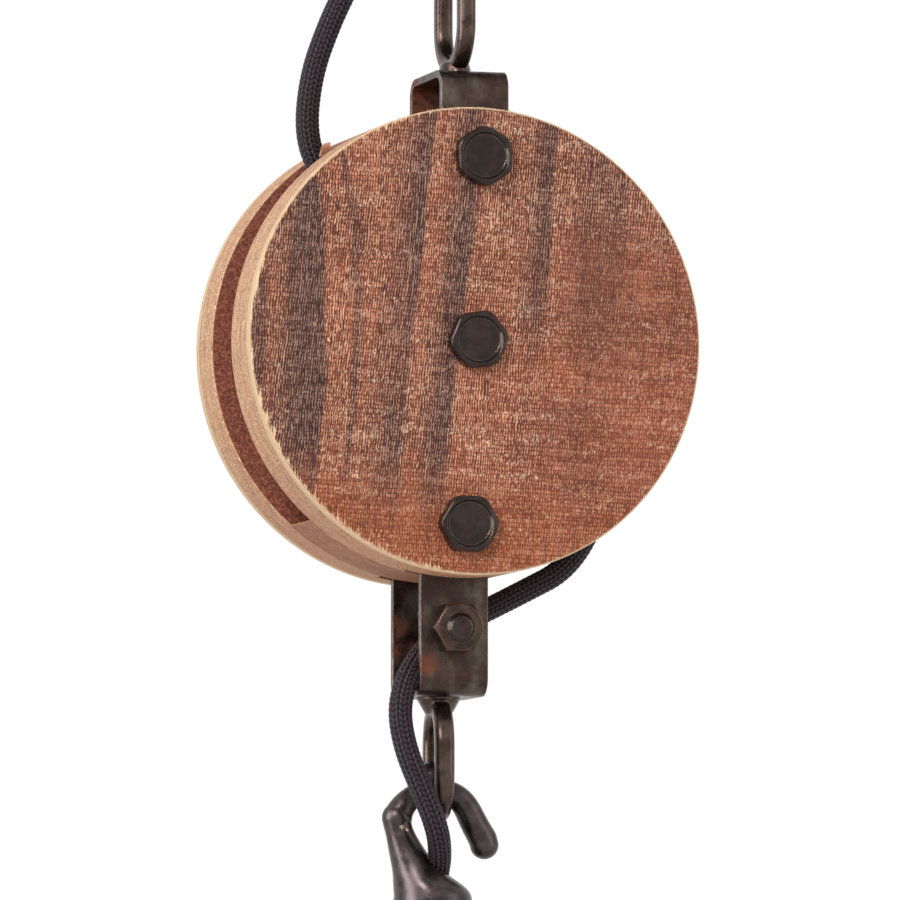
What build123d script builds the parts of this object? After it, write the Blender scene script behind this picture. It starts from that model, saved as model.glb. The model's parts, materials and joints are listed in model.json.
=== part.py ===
"""Hanging pulley block with a corded lamp hook under a ceiling rose.

Millimetres.  The origin is on the ceiling face of the mounting plate, above the line
that the block hangs from.  +Z is up, +X runs across the face of the wheel cheeks and
+Y is the direction of the bolts, from the bolt heads to their nuts.

From the top down: ceiling rose with its hook, a welded link on a bent strap, the
wooden block with its wheel, a second strap with a welded eye, and a cast lamp hook.
One cord runs from the rose over the wheel, through a guide eye, into the lamp hook.
"""
import os
from math import atan, cos, degrees, pi, radians, sin, sqrt, tan

from build123d import *

# ---- driving dimensions -------------------------------------------------------------
# wooden block
cheek_radius = 65.0
front_cheek_t = 20.0
rear_cheek_t = 17.0
face_board_t = 3.8
cheek_gap = 21.0
bolt_to_rim = 13.8
block_lean = 3.0
top_bolt_shift = -0.9
spacer_half_angle = 35.5
spacer_slope = 18.0
spacer_wall = 2.2
bottom_spacer_turn = 2.0
rim_chamfer = 0.5
strap_groove_mouth = 1.0

# cheek bolts, M10
bolt_d = 10.0
bolt_head_af = 15.4
bolt_head_h = 3.8
head_corner_round = 4.0
head_top_round = 0.8
head_turns = {"top": 35.5, "axle": 11.0, "bottom": 1.0}
nut_af = 16.0
nut_h = 8.0
washer_d = 20.0
washer_t = 2.0
bolt_tail = 3.0
bolt_hole_clearance = 0.1
head_dish_d = 13.4
head_dish_depth = 0.9
head_dish_slope = 0.7
head_dish_round = 0.3
hex_corner_cut = 0.15
tail_chamfer = 1.0

# wheel, its bush and the sleeve that it turns on
wheel_to_cheek = 1.0461538
wheel_rim_w = 14.0
wheel_web_t = 7.0
wheel_hub_w = 20.0
wheel_hub_d = 26.0
wheel_hole_d = 12.0
wheel_holes = 5
groove_depth = 8.0
groove_side_angle = 25.0
groove_play = 0.4
wheel_rim_t = 4.0
bush_d = 18.0
sleeve_d = 14.0
running_clearance = 0.06

# bent straps
strap_w = 19.5
strap_t = 2.0
strap_bend = 5.0
upper_strap_span = 32.0
lower_strap_span = 30.0
upper_strap_drop = 26.3
lower_strap_drop = 46.5
upper_strap_shift = 1.25
lower_strap_shift = 0.9
groove_side_play = 2.4
strap_floor_gap = 0.2
pivot_washer_d = 18.0
pivot_washer_gap = 0.1

# welded link (on the upper strap) and welded eye (under the lower strap)
link_h = 36.0
link_pitch = 22.9
link_bar_x = 5.0
link_bar_r = 5.0
eye_h = 34.5
eye_pitch = 22.9
eye_bar_x = 5.5
eye_bar_r = 5.0
bar_edge = 1.9
link_weld = (9.2, 13.0, 3.4, 12.0)
eye_weld = (12.6, 13.0, 4.4, 30.0)
eye_turn = -7.9
eye_shift = 0.7
seat_gap = 0.3

# ceiling rose
canopy_d = 84.0
canopy_h = 26.0
canopy_wall = 1.2
canopy_corner = 6.0
plate_side_gap = 3.8
plate_t = 2.0
ceiling_hole_pitch = 52.0
ceiling_hole_d = 4.5
supply_hole_d = 12.0
supply_hole_x = 22.0
hook_bar_d = 5.5
hook_ring_r = 8.75
hook_neck_r = 4.0
hook_tip_angle = 10.0
hook_collar_d = 12.0
hook_collar_t = 2.4
hook_collar_round = 1.0
hook_hole_gap = 0.3
hook_seat_drop = 21.6
hook_nut_af = 10.0
hook_nut_h = 5.0
grip_x = -25.5
grip_d = 12.0
grip_len = 9.0
grip_thread_d = 10.0
grip_nut_d = 14.0
grip_nut_t = 3.0
grip_screw_d = 3.0
grip_round = 1.5
grip_thread_tail = 1.0
screw_slot = (0.6, 4.0, 1.2)
terminal_size = (15.0, 16.0, 16.0)
terminal_round = 1.2
wire_way_d = 3.4
wire_way_rise = 0.5
clamp_well_d = 3.2
thread_gap = 0.1

# guide eye bolt in the lower strap, M8
guide_drop = 18.5
guide_shift = 0.8
guide_bolt_d = 8.0
guide_nut_af = 13.0
guide_nut_h = 7.0
guide_tail = 1.2
guide_eye_inner_d = 9.6
guide_eye_bar_d = 4.4
guide_shoulder_d = 11.0
guide_shoulder_t = 1.8
guide_slope = 39.0
guide_eye_sink = 0.6
guide_tail_chamfer = 1.1

# cast lamp hook
cap_d = 21.9
cap_len = 42.4
cap_thread_d = 9.2
cap_thread_len = 10.0
cap_bore_d = 16.4
cap_roof = 24.5
cap_top = 24.2
cap_shift = -1.0
hook_bar_r = 3.2
hook_tip_r = 4.0
neck_ball = (-11.3, -1.5, 4.25)
saddle_ball = (-1.5, 9.3, 5.0)
cord_hole_gap = 0.35

# cord
cord_d = 6.5
cord_gap = 0.15

# fillet ends that meet a ball are a hair smaller than it
ball_extra = 0.01

# ---- places worked out from the sizes -----------------------------------------------
bolt_pitch = cheek_radius - bolt_to_rim
wheel_d = wheel_to_cheek * cheek_radius
plate_d = canopy_d - 2 * canopy_wall - 2 * plate_side_gap
canopy_bottom = -canopy_h
hook_seat_z = canopy_bottom - hook_seat_drop
link_top_z = hook_seat_z + seat_gap + link_bar_r
upper_strap_top = link_top_z - link_h
lean = radians(block_lean)
block_x = -bolt_pitch * sin(lean)
block_z = upper_strap_top - upper_strap_drop - bolt_pitch * cos(lean)
top_pivot = (top_bolt_shift * cos(lean), upper_strap_top - upper_strap_drop - top_bolt_shift * sin(lean))
low_pivot = (block_x - bolt_pitch * sin(lean), block_z - bolt_pitch * cos(lean))
lower_strap_bottom = low_pivot[1] - lower_strap_drop
eye_bottom = lower_strap_bottom - eye_h
hook_pivot = (low_pivot[0], eye_bottom + eye_bar_r / 2)
guide_x = low_pivot[0] + guide_shift
guide_z = lower_strap_bottom + guide_drop
guide_ring_r = (guide_eye_inner_d + guide_eye_bar_d) / 2
guide_y = -lower_strap_span / 2 + strap_t + guide_shoulder_t + guide_ring_r + guide_eye_bar_d / 2 - guide_eye_sink
front_face = -cheek_gap / 2 - front_cheek_t
rear_face = cheek_gap / 2 + rear_cheek_t
groove_bottom_r = wheel_d / 2 - groove_depth
cord_r = cord_d / 2

BLOCK = Pos(block_x, 0, block_z) * Rot(0, block_lean, 0)
ALONG_Y = Rot(90, 0, 0)
BOLTS = {"top": (top_bolt_shift, bolt_pitch), "axle": (0.0, 0.0), "bottom": (0.0, -bolt_pitch)}


# ---- helpers ------------------------------------------------------------------------
def rod(radius, y0, y1, x=0.0, z=0.0):
    """Cylinder along Y between y0 and y1."""
    return Pos(x, (y0 + y1) / 2, z) * ALONG_Y * Cylinder(radius, abs(y1 - y0))


def tube(outer_r, inner_r, y0, y1, x=0.0, z=0.0):
    low, high = sorted((y0, y1))
    return rod(outer_r, low, high, x, z) - rod(inner_r, low - 1, high + 1, x, z)


def hex_prism(across_flats, height, turn=0.0):
    """Hexagon standing on XY, its top corners cut by a 30 degree cone."""
    prism = extrude(RegularPolygon(across_flats / 2, 6, major_radius=False, rotation=turn), height)
    corner = across_flats / sqrt(3) - across_flats / 2
    drop = (corner + hex_corner_cut) * tan(radians(30))
    envelope = Cylinder(across_flats / sqrt(3) + 0.1, height, align=(Align.CENTER, Align.CENTER, Align.MIN))
    top_edge = envelope.edges().group_by(Axis.Z)[-1]
    return prism & chamfer(top_edge, drop, corner + hex_corner_cut + 0.1)


def ring_in_yz(height, pitch, bar_x, bar_r):
    """Long ring with its straight sides upright, its bar rounded all round."""
    width = pitch + bar_r
    outer = Plane.YZ * SlotOverall(height, width, rotation=90)
    inner = Plane.YZ * SlotOverall(height - 2 * bar_r, width - 2 * bar_r, rotation=90)
    ring = extrude(outer - inner, bar_x / 2, both=True)
    return fillet(ring.edges().filter_by(lambda e: abs(abs(e.center().X) - bar_x / 2) < 1e-6), bar_edge)


def bent_strap(span, length):
    """U strap, bridge on top at z = 0, legs down to a round end about the pivot."""
    end = strap_w / 2
    height = length + end
    outer = Plane.YZ * Pos(0, -height / 2) * Rectangle(span, height)
    outer = fillet(outer.vertices().group_by(Axis.Z)[-1], strap_bend)
    inner_h = height - strap_t
    inner = Plane.YZ * Pos(0, -strap_t - inner_h / 2) * Rectangle(span - 2 * strap_t, inner_h)
    inner = fillet(inner.vertices().group_by(Axis.Z)[-1], strap_bend - strap_t)
    strap = extrude(outer - inner, strap_w / 2, both=True)
    front = Plane.XZ * (Pos(0, -length / 2) * Rectangle(strap_w, length) + Pos(0, -length) * Circle(end))
    return strap & extrude(front, span, both=True)


# ---- wooden block -------------------------------------------------------------------
def disc(y0, y1, chamfered_y):
    """Wooden disc between y0 and y1, with the edge at chamfered_y broken."""
    body = rod(cheek_radius, y0, y1)
    edge = body.edges().filter_by(lambda e: abs(e.center().Y - chamfered_y) < 1e-6)
    return chamfer(edge, rim_chamfer)


def strap_groove(side, span, up):
    """Groove for one strap leg, open at the rim; side is -1 front or +1 rear."""
    half_w = strap_w / 2 + groove_side_play
    floor = span / 2 + strap_floor_gap
    reach = cheek_radius + 5 - bolt_pitch
    shape = Circle(half_w) + Pos(0, up * reach / 2) * Rectangle(2 * half_w, reach)
    mouth = cheek_gap / 2 - strap_groove_mouth
    cut = extrude(Plane.XZ * shape, floor - mouth)
    return Pos(0, floor if side > 0 else -mouth, up * bolt_pitch) * cut


def drill(part, y0, y1, radius=bolt_d / 2 + bolt_hole_clearance):
    for x, z in BOLTS.values():
        part -= rod(radius, y0 - 1, y1 + 1, x, z)
    return part


def cheek(side, thickness):
    """Core board of a cheek, grooved for the strap legs, and its face board."""
    inner = side * cheek_gap / 2
    joint = side * (cheek_gap / 2 + thickness - face_board_t)
    outer = side * (cheek_gap / 2 + thickness)
    core = disc(*sorted((inner, joint)), inner)
    core -= strap_groove(side, upper_strap_span, 1)
    core -= strap_groove(side, lower_strap_span, -1)
    core = drill(core, *sorted((inner, joint)))
    board = drill(disc(*sorted((joint, outer)), outer), *sorted((joint, outer)))
    return core, board


def spacer(turn):
    """Wooden spacer flush with the rims; its inner side rises to a flat over the bolt."""
    half = radians(spacer_half_angle)
    slope = tan(radians(spacer_slope))
    corner = (cheek_radius * sin(half), cheek_radius * cos(half))
    flat_z = bolt_pitch - bolt_d / 2 - spacer_wall
    flat_x = corner[0] - (corner[1] - flat_z) / slope
    beyond = 10.0
    right = [(flat_x, flat_z), (corner[0] + beyond, corner[1] + beyond * slope)]
    right.append((corner[0] + beyond, cheek_radius + beyond))
    outline = right + [(-x, z) for x, z in reversed(right)]
    profile = make_face(Polyline(*outline, close=True)) & Circle(cheek_radius)
    block = extrude(Plane.XZ * profile, cheek_gap / 2, both=True)
    return Rot(0, turn, 0) * block


def pivot_washers(span, bolt):
    """Rings that hold the strap legs off the spacer, one for each leg."""
    inner_face = span / 2 - strap_t - pivot_washer_gap
    hole_r = bolt_d / 2 + bolt_hole_clearance
    return [tube(pivot_washer_d / 2, hole_r, s * cheek_gap / 2, s * inner_face, *bolt) for s in (-1, 1)]


# ---- cheek bolts --------------------------------------------------------------------
def bolt_head(turn):
    """Forged hexagon head with rounded corners and a raised rim round a shallow dish."""
    head = extrude(RegularPolygon(bolt_head_af / 2, 6, major_radius=False, rotation=turn), bolt_head_h)
    head = fillet(head.edges().filter_by(Axis.Z), head_corner_round)
    head = fillet(head.edges().group_by(Axis.Z)[-1], head_top_round)
    dish = Cone(head_dish_d / 2 - head_dish_slope, head_dish_d / 2, head_dish_depth)
    head -= Pos(0, 0, bolt_head_h - head_dish_depth / 2) * dish
    rim = head.edges().filter_by(GeomType.CIRCLE).group_by(Axis.Z)[-1].sort_by(SortBy.LENGTH)[-1]
    return fillet(rim, head_dish_round)


def cheek_bolt(turn):
    """M10 bolt through both cheeks."""
    head = bolt_head(turn)
    grip = rear_face - front_face + washer_t + nut_h + bolt_tail
    shank = Pos(0, 0, -grip / 2) * Cylinder(bolt_d / 2, grip)
    shank = chamfer(shank.edges().group_by(Axis.Z)[0], tail_chamfer)
    return Pos(0, front_face, 0) * ALONG_Y * (head + shank)


def nut(across_flats, height, hole_r):
    """Hexagon nut, both faces chamfered."""
    body = hex_prism(across_flats, height) & Pos(0, 0, height) * Rot(180, 0, 0) * hex_prism(across_flats, height)
    return body - Pos(0, 0, height / 2) * Cylinder(hole_r, height + 1)


def cheek_nut():
    body = nut(nut_af, nut_h, bolt_d / 2)
    return Pos(0, rear_face + washer_t, 0) * Rot(-90, 0, 0) * body


def cheek_washer():
    return tube(washer_d / 2, bolt_d / 2 + bolt_hole_clearance, rear_face, rear_face + washer_t)


# ---- wheel --------------------------------------------------------------------------
def wheel():
    """Grooved wheel: hub, pierced web, and a rim with a round-bottomed groove."""
    rim_r = wheel_d / 2
    bottom_r = cord_r + groove_play
    spread = bottom_r + (groove_depth - bottom_r) * tan(radians(groove_side_angle))
    body = Cylinder(rim_r, wheel_rim_w)
    recess_w = (wheel_rim_w - wheel_web_t) / 2
    rim_in = groove_bottom_r - wheel_rim_t
    for s in (-1, 1):
        body -= Pos(0, 0, s * (wheel_web_t + recess_w) / 2) * Cylinder(rim_in, recess_w)
    body += Cylinder(wheel_hub_d / 2, wheel_hub_w)
    half = [(rim_r + 1, 0), (rim_r + 1, spread), (rim_r, spread), (groove_bottom_r + bottom_r, bottom_r)]
    wedge = make_face(Polyline(*half, (groove_bottom_r + bottom_r, 0), close=True))
    wedge += mirror(wedge, Plane.XZ)
    wedge += Pos(groove_bottom_r + bottom_r, 0) * Circle(bottom_r)
    body -= revolve(Plane.XZ * wedge, Axis.Z)
    hole_pitch_r = (wheel_hub_d / 2 + rim_in) / 2
    hole_r = min(wheel_hole_d / 2, (rim_in - wheel_hub_d / 2) / 2 - 1)
    body -= PolarLocations(hole_pitch_r, wheel_holes) * Cylinder(hole_r, wheel_rim_w)
    body -= Cylinder(bush_d / 2, wheel_hub_w + 1)
    return ALONG_Y * body


def wheel_bush():
    return tube(bush_d / 2, sleeve_d / 2 + running_clearance, -wheel_hub_w / 2, wheel_hub_w / 2)


def axle_sleeve():
    return tube(sleeve_d / 2, bolt_d / 2 + bolt_hole_clearance, -cheek_gap / 2, cheek_gap / 2)


# ---- straps, link and eye -----------------------------------------------------------
def weld(size):
    """Weld collar: an oval foot that narrows as it rises from z = 0."""
    size_x, size_y, height, taper = size
    return extrude(Ellipse(size_x / 2, size_y / 2), height, taper=taper)


def upper_strap():
    strap = Pos(upper_strap_shift, 0, upper_strap_top) * bent_strap(upper_strap_span, upper_strap_drop)
    hole_r = bolt_d / 2 + running_clearance
    return strap - rod(hole_r, -upper_strap_span, upper_strap_span, *top_pivot)


def lower_strap():
    strap = Rot(180, 0, 0) * bent_strap(lower_strap_span, lower_strap_drop)
    strap = Pos(low_pivot[0] + lower_strap_shift, 0, lower_strap_bottom) * strap
    hole_r = bolt_d / 2 + running_clearance
    strap -= rod(hole_r, -lower_strap_span, lower_strap_span, *low_pivot)
    return strap - rod(guide_bolt_d / 2 + thread_gap, -lower_strap_span, 0, guide_x, guide_z)


def link():
    ring = Pos(0, 0, link_top_z - link_h / 2) * ring_in_yz(link_h, link_pitch, link_bar_x, link_bar_r)
    foot = Pos(0, 0, upper_strap_top) * weld(link_weld)
    return ring + foot


def lamp_eye():
    middle = lower_strap_bottom - eye_h / 2
    ring = Rot(0, 0, eye_turn) * ring_in_yz(eye_h, eye_pitch, eye_bar_x, eye_bar_r)
    foot = Pos(0, 0, lower_strap_bottom) * Rot(180, 0, 0) * weld(eye_weld)
    return Pos(low_pivot[0] + eye_shift, 0, 0) * (Pos(0, 0, middle) * ring + foot)


def guide_eye_bolt():
    """Eye bolt: threaded shank through the front leg, shoulder and cord eye inside."""
    leg_front = -lower_strap_span / 2
    leg_inner = leg_front + strap_t
    shank = rod(guide_bolt_d / 2, leg_front - guide_nut_h - guide_tail, leg_inner)
    shank = chamfer(shank.edges().group_by(Axis.Y)[0], guide_tail_chamfer)
    shoulder = rod(guide_shoulder_d / 2, leg_inner, leg_inner + guide_shoulder_t)
    eye = Pos(0, guide_y, 0) * Rot(0, 90 - guide_slope, 0) * Torus(guide_ring_r, guide_eye_bar_d / 2)
    return Pos(guide_x, 0, guide_z) * (shank + shoulder + eye)


def guide_nut():
    body = nut(guide_nut_af, guide_nut_h, guide_bolt_d / 2)
    return Pos(guide_x, -lower_strap_span / 2, guide_z) * ALONG_Y * body


# ---- ceiling rose -------------------------------------------------------------------
def canopy():
    """Spun steel cup, open at the ceiling, pierced for the hook and the cord grip."""
    outer_r = canopy_d / 2
    solid = Pos(0, 0, -canopy_h / 2) * Cylinder(outer_r, canopy_h)
    solid = fillet(solid.edges().group_by(Axis.Z)[0], canopy_corner)
    inner_h = canopy_h - canopy_wall
    hollow = Pos(0, 0, -inner_h / 2) * Cylinder(outer_r - canopy_wall, inner_h)
    hollow = fillet(hollow.edges().group_by(Axis.Z)[0], canopy_corner - canopy_wall)
    cup = solid - hollow
    cup -= Pos(0, 0, canopy_bottom) * Cylinder(hook_bar_d / 2 + hook_hole_gap, 4 * canopy_wall)
    return cup - Pos(grip_x, 0, canopy_bottom) * Cylinder(grip_thread_d / 2 + thread_gap, 4 * canopy_wall)


def mounting_plate():
    plate = Pos(0, 0, -plate_t / 2) * Cylinder(plate_d / 2, plate_t)
    plate -= Pos(0, 0, -plate_t / 2) * Cylinder(hook_bar_d / 2, 2 * plate_t)
    plate -= Pos(supply_hole_x, 0, -plate_t / 2) * Cylinder(supply_hole_d / 2, 2 * plate_t)
    for s in (-1, 1):
        plate -= Pos(0, s * ceiling_hole_pitch / 2, -plate_t / 2) * Cylinder(ceiling_hole_d / 2, 2 * plate_t)
    return plate


def ceiling_hook():
    """Round bar hook: straight shank, small reverse bend, open ring."""
    ring_z = hook_seat_z - hook_bar_d / 2 + hook_ring_r
    rise = sqrt((hook_ring_r + hook_neck_r) ** 2 - hook_neck_r ** 2)
    neck_z = ring_z + rise
    join = 90 + degrees(atan(hook_neck_r / rise))
    on_xz = Plane(origin=(0, 0, 0), x_dir=(1, 0, 0), z_dir=(0, -1, 0))
    shank = Line((0, -plate_t / 2, 0), (0, neck_z, 0))
    neck = CenterArc((-hook_neck_r, neck_z), hook_neck_r, 0, -(180 - join))
    ring = CenterArc((0, ring_z), hook_ring_r, join, 360 + hook_tip_angle - join)
    path = on_xz * (shank + neck + ring)
    bar = sweep(Plane(origin=path @ 0, z_dir=path % 0) * Circle(hook_bar_d / 2), path=path)
    tip = path @ 1
    bar += Pos(tip.X, tip.Y, tip.Z) * Sphere(hook_bar_d / 2 + ball_extra)
    collar = Cylinder(hook_collar_d / 2, hook_collar_t)
    collar = fillet(collar.edges().group_by(Axis.Z)[0], hook_collar_round)
    return bar + Pos(0, 0, canopy_bottom - hook_collar_t / 2) * collar


def hook_nut():
    return Pos(0, 0, -plate_t) * Rot(180, 0, 0) * nut(hook_nut_af, hook_nut_h, hook_bar_d / 2)


def cord_grip():
    """Cord bush: barrel below the canopy, threaded neck through it."""
    barrel = Pos(0, 0, -grip_len / 2) * Cylinder(grip_d / 2, grip_len)
    barrel = fillet(barrel.edges().group_by(Axis.Z)[0], grip_round)
    neck_h = canopy_wall + grip_nut_t + grip_thread_tail
    neck = Pos(0, 0, neck_h / 2) * Cylinder(grip_thread_d / 2, neck_h)
    bush = barrel + neck - Cylinder(cord_r + cord_gap, 4 * grip_len)
    screw_hole = Pos(-grip_d / 2, 0, -grip_len / 2) * Rot(0, 90, 0) * Cylinder(grip_screw_d / 2, grip_d)
    return Pos(grip_x, 0, canopy_bottom) * (bush - screw_hole)


def cord_grip_nut():
    ring = Cylinder(grip_nut_d / 2, grip_nut_t) - Cylinder(grip_thread_d / 2, 2 * grip_nut_t)
    return Pos(grip_x, 0, canopy_bottom + canopy_wall + grip_nut_t / 2) * ring


def cord_grip_screw():
    depth = grip_d / 2 - cord_r - cord_gap
    screw = Rot(0, 90, 0) * (Cylinder(grip_screw_d / 2, depth) - Pos(0, 0, -depth / 2) * Box(*screw_slot))
    return Pos(grip_x - grip_d / 2 + depth / 2, 0, canopy_bottom - grip_len / 2) * screw


def terminal_block():
    """Moulded terminal block under the plate, with wire ways and clamp screw wells."""
    size_x, size_y, size_z = terminal_size
    body = Box(size_x, size_y, size_z)
    body = fillet(body.edges().filter_by(Axis.Z), terminal_round)
    for s in (-1, 1):
        wire_way = Rot(0, 90, 0) * Cylinder(wire_way_d / 2, size_x + 1)
        body -= Pos(0, s * size_y / 4, wire_way_rise) * wire_way
        body -= Pos(0, s * size_y / 4, -size_z / 4) * Cylinder(clamp_well_d / 2, size_z / 2 + 0.1)
    return Pos(grip_x, 0, -plate_t - size_z / 2) * body


# ---- lamp hook ----------------------------------------------------------------------
# Neck and shoulder sections, from the arch down to the full width of the cap: place
# across, height (both from the pivot in the eye) and radius.
NECK = [(-11.3, -1.4, 4.2), (-10.4, -5.7, 4.15), (-9.3, -8.4, 4.65), (-7.8, -11.8, 5.5)]
SHOULDER = [(-5.3, -16.2, 7.1), (-2.9, -19.4, 9.2), (-1.5, -21.6, 10.4)]
# Arch of the hook: place across and height of its centre line, and bar radius.
ARCH = [(-11.3, -1.6, 3.9), (-9.6, 1.6, 3.6), (-5.6, 5.0, hook_bar_r), (0.0, 6.3, hook_bar_r)]
ARCH += [(5.6, 4.8, 3.4), (9.9, -0.6, 3.8), (12.4, -5.2, 3.95), (14.0, -8.8, hook_tip_r)]


def arch_sections():
    """Circles square to the arch's centre line, each with its own radius."""
    line = Spline(*[(x, 0, z) for x, z, r in ARCH])
    sections = []
    for x, z, r in ARCH:
        t = line.param_at_point(Vector(x, 0, z))
        sections.append(Plane(origin=(x, 0, z), z_dir=line % t, x_dir=(0, 1, 0)) * Circle(r))
    return sections


def lamp_hook():
    """Cast hook and lampholder cap in one: cap, slanting shoulder, neck, arch, tip."""
    straight = cap_len - cap_top
    cap = Pos(cap_shift, 0, -cap_len + straight / 2) * Cylinder(cap_d / 2, straight)
    sections = [Pos(x, 0, z) * Circle(r) for x, z, r in NECK + SHOULDER]
    sections.append(Pos(cap_shift, 0, -cap_top) * Circle(cap_d / 2))
    body = loft(sections) + cap
    body += loft(arch_sections())
    for x, z, r in (neck_ball, saddle_ball):
        body += Pos(x, 0, z) * Sphere(r)
    body += Pos(ARCH[-1][0], 0, ARCH[-1][1]) * Sphere(hook_tip_r + ball_extra)
    thread = Cylinder(cap_thread_d / 2, cap_thread_len + 1)
    body -= Pos(cap_shift, 0, -cap_len + cap_thread_len / 2) * thread
    chamber_h = cap_len - cap_thread_len - cap_roof
    body -= Pos(cap_shift, 0, -cap_roof - chamber_h / 2) * Cylinder(cap_bore_d / 2, chamber_h)
    body = Pos(hook_pivot[0], 0, hook_pivot[1]) * body
    return body - cord_hole()


def cord_hole():
    """Bent way for the cord, through the shoulder into the bore of the cap."""
    radius = cord_r + cord_hole_gap
    corners = CORD_ROUTE["cord_drop"][-3:]
    way = Pos(*corners[1]) * Sphere(radius)
    for start, finish in zip(corners, corners[1:]):
        run = Vector(*finish) - Vector(*start)
        hole = Cylinder(radius, run.length, align=(Align.CENTER, Align.CENTER, Align.MIN))
        way += Plane(origin=start, z_dir=run) * hole
    return way


# ---- cord ---------------------------------------------------------------------------
# Corners of the cord's route from the terminal block to the bore of the lamp hook, each
# row measured from one place on the object: across, along Y, and up.
CORNERS_BELOW_CANOPY = [(0.0, 0.0, -16.0), (-5.5, 0.0, -27.5)]
# These are in cheek radii from the axle, so that the cord follows a block of any size.
CORNERS_INTO_BLOCK = [(-0.5219, 0.0, 1.3958), (-0.6049, 0.0, 1.1651), (-0.6280, 0.0, 0.9035),
                      (-0.5511, 0.0, 0.7343)]
CORNERS_ROUND_WHEEL = [(-0.3849, 0.0, 0.5112), (-0.1388, 0.0, 0.4635), (0.1412, 0.0, 0.4543),
                       (0.3643, 0.0, 0.3343), (0.5412, 0.0, 0.1189), (0.6982, 0.0, -0.1272),
                       (0.7612, 0.0, -0.4195), (0.6889, 0.0, -0.6888)]
CORNERS_BEFORE_GUIDE = [(37.86, 2.6, 18.56), (24.36, 2.6, 11.56), (12.16, 2.0, 5.46), (0.0, 0.0, 0.0)]
CORNERS_AFTER_GUIDE = [(-10.34, -5.4, -10.34)]
CORNERS_BY_HOOK = [(-14.54, -12.6, 29.36), (-13.44, -14.5, 17.86), (-8.44, -14.8, 5.86), (-3.54, -13.6, -4.74),
                   (-0.24, -5.2, -11.84), (0.46, 0.6, -17.44), (-0.34, 2.4, -25.64)]


def corners(place, offsets, unit=1.0):
    """Corners of the route, measured from one place on the object."""
    return [tuple(p + unit * o for p, o in zip(place, offset)) for offset in offsets]


TERMINAL_END = (grip_x, 0.0, -plate_t - terminal_size[2])
AXLE = (block_x, 0.0, block_z)
GUIDE = (guide_x, guide_y, guide_z)
HOOK = (hook_pivot[0], 0.0, hook_pivot[1])
CORD_ROUTE = {
    "cord_top": [TERMINAL_END] + corners((grip_x, 0.0, canopy_bottom), CORNERS_BELOW_CANOPY),
    "cord_entry": corners(AXLE, CORNERS_INTO_BLOCK, cheek_radius),
    "cord_wheel": corners(AXLE, CORNERS_ROUND_WHEEL, cheek_radius),
    "cord_run": corners(GUIDE, CORNERS_BEFORE_GUIDE),
    "cord_drop": corners(GUIDE, CORNERS_AFTER_GUIDE) + corners(HOOK, CORNERS_BY_HOOK),
}


def middle(a, b):
    return tuple((p + q) / 2 for p, q in zip(a, b))


def corner_radius(before, corner, after):
    """Arc that takes 0.45 of the shorter run on either side of a corner."""
    run_in = Vector(*corner) - Vector(*before)
    run_out = Vector(*after) - Vector(*corner)
    turn = radians(run_in.get_angle(run_out))
    return 0.45 * min(run_in.length, run_out.length) / tan(turn / 2)


def cord_tube(name, before, own, after):
    """Tube of straight runs and tangent arcs; it meets its neighbours in mid run."""
    start = [middle(before[-1], own[0])] if before else []
    finish = [middle(own[-1], after[0])] if after else []
    whole = before[-1:] + own + after[:1]
    radii = [corner_radius(*three) for three in zip(whole, whole[1:], whole[2:])]
    path = FilletPolyline(*start, *own, *finish, radius=radii)
    solid = sweep(Plane(origin=path @ 0, z_dir=path % 0) * Circle(cord_r), path=path)
    ideal = pi * cord_r ** 2 * path.length
    print(name, "length", round(path.length, 1), "radii", [round(r) for r in radii],
          "volume ratio", round(solid.volume / ideal, 4))
    return solid


def cords():
    names = list(CORD_ROUTE)
    routes = [[]] + list(CORD_ROUTE.values()) + [[]]
    return {name: [cord_tube(name, *three)] for name, three in zip(names, zip(routes, routes[1:], routes[2:]))}


# ---- assembly -----------------------------------------------------------------------
def in_block(shapes):
    return [BLOCK * s for s in shapes]


def build():
    parts = {
        "canopy": [canopy()], "mounting_plate": [mounting_plate()], "ceiling_hook": [ceiling_hook()],
        "ceiling_hook_nut": [hook_nut()], "cord_grip": [cord_grip()], "cord_grip_nut": [cord_grip_nut()],
        "cord_grip_screw": [cord_grip_screw()], "terminal_block": [terminal_block()],
        "upper_strap": [upper_strap()], "hanging_link": [link()],
        "lower_strap": [lower_strap()], "lamp_eye": [lamp_eye()],
        "guide_eye_bolt": [guide_eye_bolt()], "guide_bolt_nut": [guide_nut()],
        "lamp_hook": [lamp_hook()],
    }
    front_core, front_board = cheek(-1, front_cheek_t)
    rear_core, rear_board = cheek(1, rear_cheek_t)
    parts["front_cheek_core"] = in_block([front_core])
    parts["front_face_board"] = in_block([front_board])
    parts["rear_cheek_core"] = in_block([rear_core])
    parts["rear_face_board"] = in_block([rear_board])
    parts["top_spacer"] = in_block([drill(spacer(0), -cheek_gap / 2, cheek_gap / 2)])
    low_spacer = drill(spacer(180 + bottom_spacer_turn), -cheek_gap / 2, cheek_gap / 2)
    parts["bottom_spacer"] = in_block([low_spacer])
    parts["upper_pivot_washers"] = in_block(pivot_washers(upper_strap_span, BOLTS["top"]))
    parts["lower_pivot_washers"] = in_block(pivot_washers(lower_strap_span, BOLTS["bottom"]))
    for name, (x, z) in BOLTS.items():
        parts[name + "_bolt"] = in_block([Pos(x, 0, z) * cheek_bolt(head_turns[name])])
    parts["cheek_nuts"] = in_block([Pos(x, 0, z) * cheek_nut() for x, z in BOLTS.values()])
    parts["cheek_washers"] = in_block([Pos(x, 0, z) * cheek_washer() for x, z in BOLTS.values()])
    parts["axle_sleeve"] = in_block([axle_sleeve()])
    parts["wheel"] = in_block([wheel()])
    parts["wheel_bush"] = in_block([wheel_bush()])
    return parts | cords()


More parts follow.
